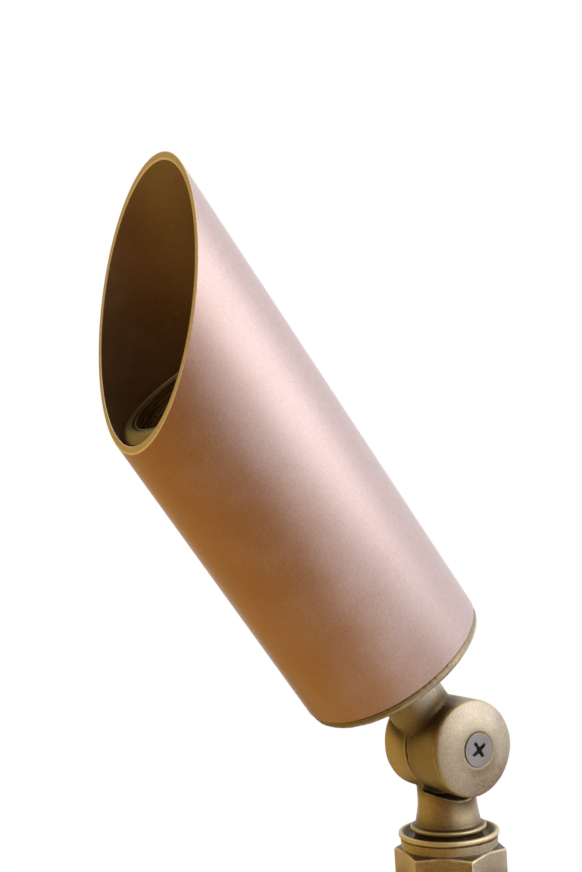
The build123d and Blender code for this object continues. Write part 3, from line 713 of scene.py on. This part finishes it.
def clear(name, tint, roughness, ior):
    """Clear glass or plastic with a faint haze of dust."""
    material, tree, shader = new_material(name, 0.0, roughness, IOR=ior, Transmission_Weight=1.0)
    grain = fine_grain(tree, coordinates(tree), 1200.0, 60.0)
    dusty = [0.9 * value for value in tint]
    rough = fit_range(tree, grain["Cloud"], 0, 1, roughness, roughness + 0.04)
    tint = mix(tree, grain["Cloud"], rgba(tint), rgba(dusty))
    connect(tree, shader, {"Base Color": tint, "Roughness": rough})
    add_bump(tree, shader, grain["Height"], 0.004 * MM, 0.3)
    return material


# -------- pieces
class SPOTLIGHT_OT_shroud(bpy.types.Operator):
    """Make the tube with its slanted mouth, filed rim and set screws"""

    bl_idname = "spotlight.shroud"
    bl_label = "Glare shroud"

    def execute(self, context):
        """A point of the tube is (r cos t, r sin t, z): r and z follow the closed profile of
        wall, rim and bore, and the rim's height is mouth + slope * y. The profile's two
        halves mirror each other; NaN marks the rows at the foot, which rise from the base."""
        shape = context.scene.spotlight_shape
        slope = 1 / math.tan(shape.mouth_angle)
        mouth = float((TUBE[:, 2] - slope * TUBE[:, 1]).max())
        columns = shape.round_columns
        bevel = shape.rim_round
        arc = np.linspace(0, np.pi / 2, 5)
        foot = np.linspace(np.pi / 2, 0, 4)
        below_rim = np.array([60, 30, 14, 7, 3.5, 1.8, 0.9, 0.5, 0.35]) * MM
        deepest = 0.9  # share of the wall's height that the rows below the rim may take
        lip_highlight_rows = (1, 2, 3, 6, 7, 8)  # the middles of both quarter rounds, which carry the painted highlight

        inset = bevel * (1 - np.cos(np.concatenate([foot, np.zeros(len(below_rim)), arc])))
        drop = np.concatenate([np.full(len(foot), np.nan), below_rim, bevel * (1 - np.sin(arc))])
        rise = np.concatenate([bevel * (1 - np.sin(foot)), np.zeros(len(drop) - len(foot))])
        radius = np.concatenate([TUBE_OUTER - inset, TUBE_BORE + inset[::-1]])
        drop, rise = [np.concatenate([half, half[::-1]])[:, None] for half in (drop, rise)]
        points = turned_points(radius, np.zeros(len(radius)), columns)
        rim_z = mouth + slope * points[:, :, 1]
        wall_z = rim_z - np.minimum(np.nan_to_num(drop), deepest * (rim_z - TUBE_BASE))
        points[:, :, 2] = np.where(np.isnan(drop), TUBE_BASE + rise, wall_z)
        piece = new_object("glare_shroud_tube", moved(points.reshape(-1, 3), HEAD),
                           wrapped_grid(len(radius), columns, True))
        from_rim = np.arange(len(radius)) - len(foot) - len(below_rim)
        masks = {
            "rim": (from_rim >= 0) & (from_rim < 2 * len(arc)),
            "lip_highlight": np.isin(from_rim, lip_highlight_rows),
            "inside": from_rim >= 2 * len(arc),
        }
        for name, rows in masks.items():
            set_attribute(piece, name, np.repeat(rows, columns))
        self.drill(piece)
        shade(piece, 35)
        settle(piece, rose_bronze(), "shroud", "glare_shroud")
        paint("shroud_set_screws", plain_metal, context.scene.spotlight_finish.steel, 0.35)
        return {"FINISHED"}

    @staticmethod
    def drill(piece):
        """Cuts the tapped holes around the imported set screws."""
        thread_play = 0.05 * MM
        reach = 4 * MM
        columns = 48
        bearings = (np.pi, np.pi / 2)
        screws = moved(corners("shroud_set_screws"), HEAD.inverted())
        height = float(screws[:, 2].min() + screws[:, 2].max()) / 2
        hole = float(screws[:, 2].max() - screws[:, 2].min()) / 2 + thread_play
        for turn in bearings:
            points = turned_points(
                np.array([0, hole, hole, 0]), np.array([-1, -1, 1, 1]) * reach, columns)
            lay = Matrix.Translation((0, 0, height)) @ Matrix.Rotation(turn, 4, "Z")
            lay = lay @ Matrix.Translation((TUBE_OUTER, 0, 0)) @ Matrix.Rotation(np.pi / 2, 4, "Y")
            cutter = new_object(
                "drill", moved(points.reshape(-1, 3), HEAD @ lay), wrapped_grid(4, columns))
            merge_doubles(cutter)
            cut = piece.modifiers.new("hole", "BOOLEAN")
            cut.object = cutter
            cut.operation = "DIFFERENCE"
            cut.solver = "MANIFOLD"
            apply_modifiers(piece)
            bpy.data.objects.remove(cutter)


class SPOTLIGHT_OT_castings(bpy.types.Operator):
    """Make the rear cap with its arm and disc, and the lower half of the knuckle"""

    bl_idname = "spotlight.castings"
    bl_label = "Knuckle castings"

    def execute(self, context):
        """Both are softened copies; the disc's face on the cap swells around its screw."""
        shape = context.scene.spotlight_shape
        finish = context.scene.spotlight_finish
        cap = soft_copy(
            "rear_cap_casting", "rear_cap_and_arm", shape.cap_voxel, 3, shape.cast_waviness)
        dome_face(cap, shape.disc_dome)
        brass = antique_brass("cap antique brass", finish.cap_shaded_side, 2300.0, 0.35, 0.25)
        settle(cap, brass, "head", "rear_cap_casting")
        lower = soft_copy(
            "lower_knuckle_casting", "lower_knuckle", shape.cast_voxel, 5, shape.cast_waviness)
        brass = antique_brass("neck antique brass", finish.neck_shaded_side, 2300.0, 0.3, 0.45)
        settle(lower, brass, "lower_knuckle", "lower_knuckle_casting")
        return {"FINISHED"}


class SPOTLIGHT_OT_lock_nut(bpy.types.Operator):
    """Make the hex lock nut with its lipped collar"""

    bl_idname = "spotlight.lock_nut"
    bl_label = "Lock nut"

    def execute(self, context):
        """A softened copy, with finer grain and more edge wear and painted edge highlight than the
        castings.
        """
        nut = soft_copy("stem_lock_nut", "lock_nut", context.scene.spotlight_shape.nut_voxel, 4)
        brown = context.scene.spotlight_finish.neck_shaded_side
        brass = antique_brass("turned antique brass", brown, 2600.0, 0.25, 0.55)
        settle(nut, brass, "lock_nut", "stem_lock_nut")
        return {"FINISHED"}


class SPOTLIGHT_OT_knuckle_screw(bpy.types.Operator):
    """Make the countersunk knuckle screw with its cross recess"""

    bl_idname = "spotlight.knuckle_screw"
    bl_label = "Knuckle screw"

    def execute(self, context):
        """The face is a polar grid (r, t), and its depth is the larger of two troughs, one
        for each pair of wings. A trough is full within its half width and length, which
        narrows outwards, and falls to nothing over a short slope beyond them."""
        shape = context.scene.spotlight_shape
        columns = 192
        shank = 2.41 * MM
        land = SCREW_FACE - 0.45 * MM
        cone_angle = math.radians(41)
        cone = land - (SCREW_RADIUS - shank) / math.tan(cone_angle)
        wall_slope, end_slope = 0.24 * MM, 1.1 * MM
        taper = 0.25
        radii = np.linspace(0, SCREW_RADIUS - 0.18 * MM, 48)
        rim_r, rim_x = rounded(
            [(radii[-1], SCREW_FACE), (SCREW_RADIUS, SCREW_FACE), (SCREW_RADIUS, land),
             (shank, cone), (shank, SCREW_TIP + 0.5 * MM), (shank - 0.4 * MM, SCREW_TIP),
             (0, SCREW_TIP)],
            {1: 0.17 * MM, 3: 0.3 * MM})
        radius = np.concatenate([radii, rim_r[1:]])[::-1]
        reach = np.concatenate([np.full(len(radii), SCREW_FACE), rim_x[1:]])[::-1]
        points = turned_points(radius, reach, columns)
        across = points[:, :, :2]
        wings = []
        for turn in (shape.recess_turn, shape.recess_turn + np.pi / 2):
            along = across @ np.array([math.cos(turn), math.sin(turn)])
            beside = across @ np.array([-math.sin(turn), math.cos(turn)])
            half_span = 0.5 * shape.recess_span
            half = 0.5 * shape.recess_width * (1 - taper * np.abs(along) / half_span)
            side = np.clip((half + 0.5 * wall_slope - np.abs(beside)) / wall_slope, 0, 1)
            end = np.clip((half_span - np.abs(along)) / end_slope, 0, 1)
            wings.append(side * end)
        face = (np.arange(len(radius)) >= len(radius) - len(radii))[:, None]
        points[:, :, 2] -= np.where(face, shape.recess_depth * np.maximum(*wings), 0)
        lay = Matrix.Translation((0, PIVOT.y, PIVOT.z)) @ Matrix.Rotation(np.pi / 2, 4, "Y")
        piece = new_object("knuckle_screw_steel", moved(points.reshape(-1, 3), lay),
                           wrapped_grid(len(radius), columns))
        merge_doubles(piece)
        shade(piece, 40)
        steel = plain_metal("screw steel", context.scene.spotlight_finish.steel, 0.38, 1400.0)
        settle(piece, steel, "knuckle_screw", "knuckle_screw")
        return {"FINISHED"}


class SPOTLIGHT_OT_lens(bpy.types.Operator):
    """Finish the bezel, the glass and the housing behind them"""

    bl_idname = "spotlight.lens"
    bl_label = "Lens and bezel"

    def execute(self, context):
        """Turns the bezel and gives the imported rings, glass and sleeve their materials."""
        finish = context.scene.spotlight_finish
        self.turn_bezel(finish)
        paint("glass_lens", clear, (0.93, 0.96, 0.94), 0.02, 1.5)
        paint("lens_gasket", moulded, (0.42, 0.13, 0.06), 0.55)
        paint("lamp_housing_sleeve", plain_metal, finish.antique, 0.4)
        paint("housing_seal", moulded, (0.03, 0.03, 0.03), 0.6)
        paint("spigot_o_rings", moulded, (0.025, 0.025, 0.025), 0.45)
        paint("knuckle_o_ring", moulded, (0.025, 0.025, 0.025), 0.5)
        paint("wire_seal_plug", moulded, (0.4, 0.12, 0.06), 0.55)
        return {"FINISHED"}

    @staticmethod
    def turn_bezel(finish):
        """A closed profile turned about the tube's axis: skirt, sloping shoulder, flat land,
        a groove, an inner ridge and the step that holds the glass."""
        packed = moved(corners("lens_bezel"), HEAD.inverted())
        near = 0.1 * MM
        reach = np.hypot(packed[:, 0], packed[:, 1])
        outer, opening = reach.max(), reach.min()
        face, skirt = packed[:, 2].max(), packed[:, 2].min()
        ledge = packed[reach < opening + near, 2].min()
        bore = reach[packed[:, 2] < skirt + near].min()
        flat = reach[packed[:, 2] > face - 0.1 * near].max() + 0.2 * MM
        shoulder = face - (outer - flat)
        groove_out, groove_in = opening + 1.2 * MM, opening + 0.75 * MM
        groove_floor = face - 1.1 * MM
        ridge = face - 0.5 * MM
        draft = 0.1 * MM
        radius, height = rounded([
            (outer, skirt), (outer, shoulder), (flat, face), (groove_out, face),
            (groove_out - draft, groove_floor), (groove_in, groove_floor),
            (groove_in - draft, ridge), (opening, ridge),
            (opening, ledge), (bore, ledge), (bore, skirt),
        ], {1: 1.2 * MM, 2: 1.1 * MM, 3: 0.7 * MM, 4: 0.2 * MM, 5: 0.2 * MM, 6: 0.25 * MM,
            7: 0.3 * MM})
        columns = 256
        points = moved(turned_points(radius, height, columns).reshape(-1, 3), HEAD)
        piece = new_object("bezel_ring", points, wrapped_grid(len(radius), columns, True))
        shade(piece, 40)
        brass = plain_metal("bezel brass", finish.bezel, 0.42, 1700.0)
        settle(piece, brass, "bezel", "lens_bezel")


class SPOTLIGHT_OT_lamp(bpy.types.Operator):
    """Finish the lamp, its socket, bracket and leads"""

    bl_idname = "spotlight.lamp"
    bl_label = "Lamp and socket"

    def execute(self, context):
        """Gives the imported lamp, socket and fixings their materials."""
        finish = context.scene.spotlight_finish
        paint("lamp_heat_sink", plain_metal, (0.5, 0.36, 0.26), 0.35)
        paint("lamp_optic", clear, (0.9, 0.78, 0.7), 0.05, 1.49)
        paint("lamp_led_board", moulded, (0.75, 0.74, 0.7), 0.5)
        paint("lamp_base", moulded, (0.8, 0.79, 0.75), 0.5)
        paint("lamp_pins", plain_metal, (0.7, 0.55, 0.28), 0.3)
        paint("lamp_socket", moulded, (0.78, 0.75, 0.68), 0.4)
        paint("socket_contacts", plain_metal, (0.7, 0.53, 0.26), 0.3)
        paint("socket_screws", plain_metal, finish.steel, 0.35)
        paint("socket_bracket", plain_metal, (0.55, 0.55, 0.56), 0.35)
        paint("bracket_screws", plain_metal, finish.steel, 0.35)
        paint("socket_leads", moulded, (0.04, 0.04, 0.04), 0.5)
        paint("knuckle_nut", plain_metal, finish.steel, 0.35)
        return {"FINISHED"}


class SPOTLIGHT_OT_stake(bpy.types.Operator):
    """Make the moulded stake, its grommet, gasket and thread insert"""

    bl_idname = "spotlight.stake"
    bl_label = "Stake"

    def execute(self, context):
        """Softened copies of the stake and its rubber, and a material for the insert."""
        shape = context.scene.spotlight_shape
        finish = context.scene.spotlight_finish
        stake = soft_copy("ground_spike", "stake_moulding", shape.stake_voxel, 2)
        plastic = moulded("stake plastic", finish.stake, 0.5, 0.08 * MM)
        settle(stake, plastic, "stake", "ground_spike")
        for node, name in (("cable_grommet", "outlet_grommet"), ("nut_gasket", "hub_gasket")):
            piece = soft_copy(node, name, shape.rubber_voxel, 2)
            rubber = moulded(f"{name} rubber", (0.03, 0.03, 0.03), 0.6)
            settle(piece, rubber, "stake", node)
        paint("hub_thread_insert", plain_metal, (0.68, 0.52, 0.26), 0.35)
        return {"FINISHED"}


# -------- studio
class SPOTLIGHT_OT_studio(bpy.types.Operator):
    """Set up the camera, the soft lamps, the floor and the white background"""

    bl_idname = "spotlight.studio"
    bl_label = "Studio"

    def execute(self, context):
        """Camera, soft boxes, floor, cards and room, in that order."""
        self.aim_camera(context)
        self.hang_lamps(context)
        self.lay_floor()
        self.stand_cards(context)
        self.light_room(context)
        context.scene.view_settings.view_transform = "Standard"
        return {"FINISHED"}

    @staticmethod
    def aim_camera(context):
        """The camera looks level from its azimuth, turned about its line of sight by its roll."""
        studio = context.scene.spotlight_studio
        azimuth = studio.camera_azimuth
        back = Vector((math.sin(azimuth), -math.cos(azimuth), 0))
        right = Vector((math.cos(azimuth), math.sin(azimuth), 0))
        roll = studio.camera_roll
        up = Vector((0, 0, 1))
        turned_right = right * math.cos(roll) - up * math.sin(roll)
        turned_up = up * math.cos(roll) + right * math.sin(roll)
        lens = bpy.data.cameras.new("camera")
        lens.sensor_width = 36
        lens.lens = studio.camera_lens
        lens.clip_start = 0.01
        camera = bpy.data.objects.new("camera", lens)
        turn = Matrix((turned_right, turned_up, back)).transposed().to_4x4()
        camera.matrix_world = Matrix.Translation(PIVOT + Vector(studio.camera_offset)) @ turn
        context.scene.collection.objects.link(camera)
        context.scene.camera = camera

    @staticmethod
    def hang_lamps(context):
        """Two soft boxes that face the lamp's middle, unseen by the camera."""
        studio = context.scene.spotlight_studio
        middle = Vector((0, -0.04, 0.14))
        boxes = {
            "key": (Vector((0.734, 0.531, 0.423)), 0.85, 0.9, studio.key_power),
            "overhead": (Vector((-0.1, 0.1, 1.0)), 1.0, 0.7, studio.fill_power),
        }
        for name, (aim, distance, size, power) in boxes.items():
            lamp = bpy.data.lights.new(name, "AREA")
            lamp.shape = "RECTANGLE"
            lamp.size = lamp.size_y = size
            lamp.energy = power
            holder = bpy.data.objects.new(name, lamp)
            aim.normalize()
            turn = aim.to_track_quat("Z", "Y").to_matrix().to_4x4()
            holder.matrix_world = Matrix.Translation(middle + aim * distance) @ turn
            holder.visible_camera = False
            context.scene.collection.objects.link(holder)

    @staticmethod
    def lay_floor():
        """A round floor under the stake's tip: rings of radius r, all at one height."""
        radii = np.array([0, 0.05, 0.1, 0.2, 0.4, 0.8, 1.6, 3.2, 8.0])
        columns = 96
        level = cad_low.z - 0.5 * MM
        points = turned_points(radii, np.full(len(radii), level), columns)
        floor = new_object("floor", points.reshape(-1, 3), wrapped_grid(len(radii), columns))
        merge_doubles(floor)
        material, tree, shader = new_material("floor white", 0.0, 0.9)
        vector = coordinates(tree)
        cloud = noise(tree, vector, 6.0)
        white = mix(tree, cloud, (0.93, 0.93, 0.92, 1), (0.9, 0.9, 0.89, 1))
        connect(tree, shader, {"Base Color": white})
        distance = add(tree, "ShaderNodeVectorMath", {0: vector}, operation="LENGTH")
        far = fit_range(tree, distance.outputs["Value"], 0.25, 0.75, 0.55, 1.0)
        glow = add(tree, "ShaderNodeEmission", {"Color": (1, 1, 1, 1), "Strength": 1.0})
        blend_surface(tree, times(tree, seen_directly(tree), far), shader, glow)
        floor.data.materials.append(material)

    def stand_cards(self, context):
        """Two warm cards around the lamp. The first bends around the camera's left, lies on
        the floor near the stake and turns up further out. The second lies on the floor in
        the rest of the circle, short of the lamp's bright front."""
        studio = context.scene.spotlight_studio
        behind = studio.camera_azimuth - np.pi / 2
        first, last = behind - np.radians(150), behind + np.radians(13)
        floor_start = behind + np.radians(62)
        foot = cad_low.z + 3 * MM
        near, far, top = 0.12, 0.75, 0.75

        outline = rounded([(near, foot), (far, foot), (far, top)], {1: 0.25}, 9)
        tree, dress = self.bend_card("warm_card", (first, last), *outline)
        side = dot(tree, coordinates(tree), (math.cos(behind), math.sin(behind), 0))
        share = fit_range(tree, side, 0.75, -0.05)
        dress(mix(tree, share, rgba(studio.card), rgba(studio.card_end)))

        tree, dress = self.bend_card("floor_card", (floor_start, first + 2 * np.pi),
                                     np.array([near, far]), np.array([foot, foot]))
        cloud = noise(tree, coordinates(tree), 4.0)
        paler = [1.1 * value for value in studio.floor_card]
        dress(mix(tree, cloud, rgba(studio.floor_card), rgba(paler)))

    @staticmethod
    def bend_card(name, span, radius, height):
        """A card over part of a circle: (r cos t, r sin t, z) along its profile. It glows on
        its inner side alone, and only reflections and bounced light see it. Returns its
        shader tree and a function that takes its colour."""
        columns = 30
        points = turned_points(radius, height, columns, span).reshape(-1, 3)
        row, column = np.indices((len(height) - 1, columns - 1))
        low = row * columns + column
        high = low + columns
        faces = np.stack([low, high, high + 1, low + 1], axis=-1).reshape(-1, 4)
        card = new_object(name, points, faces)
        card.visible_camera = False
        card.visible_shadow = False
        card.visible_transmission = False
        material, tree, _ = new_material(name, 0.0, 1.0)
        card.data.materials.append(material)

        def dress(tint):
            """Lets the card glow in a colour, seen from its inner side only."""
            glow = add(tree, "ShaderNodeEmission", {"Color": tint, "Strength": 1.0})
            back = add(tree, "ShaderNodeNewGeometry").outputs["Backfacing"]
            blend_surface(tree, back, glow, add(tree, "ShaderNodeBsdfTransparent"))

        return tree, dress

    @staticmethod
    def light_room(context):
        """White where the camera, a reflection or a clear piece sees it, soft ambient elsewhere."""
        world = bpy.data.worlds.new("studio")
        world.use_nodes = True
        tree = world.node_tree
        ambient = context.scene.spotlight_studio.ambient
        background = tree.nodes["Background"]
        background.inputs["Strength"].default_value = 1.0
        tint = mix(tree, seen_directly(tree), rgba([ambient] * 3), (1, 1, 1, 1))
        tree.links.new(tint, background.inputs["Color"])
        context.scene.world = world


class SPOTLIGHT_PT_sidebar(bpy.types.Panel):
    """Every step of the spotlight, in order"""

    bl_idname = "SPOTLIGHT_PT_sidebar"
    bl_label = "Garden spike spotlight"
    bl_space_type = "VIEW_3D"
    bl_region_type = "UI"
    bl_category = "Spotlight"

    def draw(self, context):
        """A button for each step, and a box of fields for each group of settings."""
        for step in STEPS:
            self.layout.operator(step.bl_idname)
        for name in SETTINGS:
            box = self.layout.box()
            group = getattr(context.scene, name)
            for key in group.bl_rna.properties.keys():
                if key not in ("rna_type", "name"):
                    box.prop(group, key)


SETTINGS = {
    "spotlight_shape": SpotlightShape,
    "spotlight_finish": SpotlightFinish,
    "spotlight_studio": SpotlightStudio,
}
STEPS = (
    SPOTLIGHT_OT_shroud, SPOTLIGHT_OT_castings, SPOTLIGHT_OT_lock_nut, SPOTLIGHT_OT_knuckle_screw,
    SPOTLIGHT_OT_lens, SPOTLIGHT_OT_lamp, SPOTLIGHT_OT_stake, SPOTLIGHT_OT_studio,
)
CLASSES = (*SETTINGS.values(), *STEPS, SPOTLIGHT_PT_sidebar)


def register():
    """Registers the settings, the steps and the sidebar."""
    for cls in CLASSES:
        bpy.utils.register_class(cls)
    for name, cls in SETTINGS.items():
        setattr(bpy.types.Scene, name, PointerProperty(type=cls))


def unregister():
    """Undoes register()."""
    for name in SETTINGS:
        delattr(bpy.types.Scene, name)
    for cls in reversed(CLASSES):
        bpy.utils.unregister_class(cls)


def main():
    """Runs every step."""
    register()
    bpy.ops.spotlight.shroud()
    bpy.ops.spotlight.castings()
    bpy.ops.spotlight.lock_nut()
    bpy.ops.spotlight.knuckle_screw()
    bpy.ops.spotlight.lens()
    bpy.ops.spotlight.lamp()
    bpy.ops.spotlight.stake()
    bpy.ops.spotlight.studio()


if __name__ == "__main__":
    main()
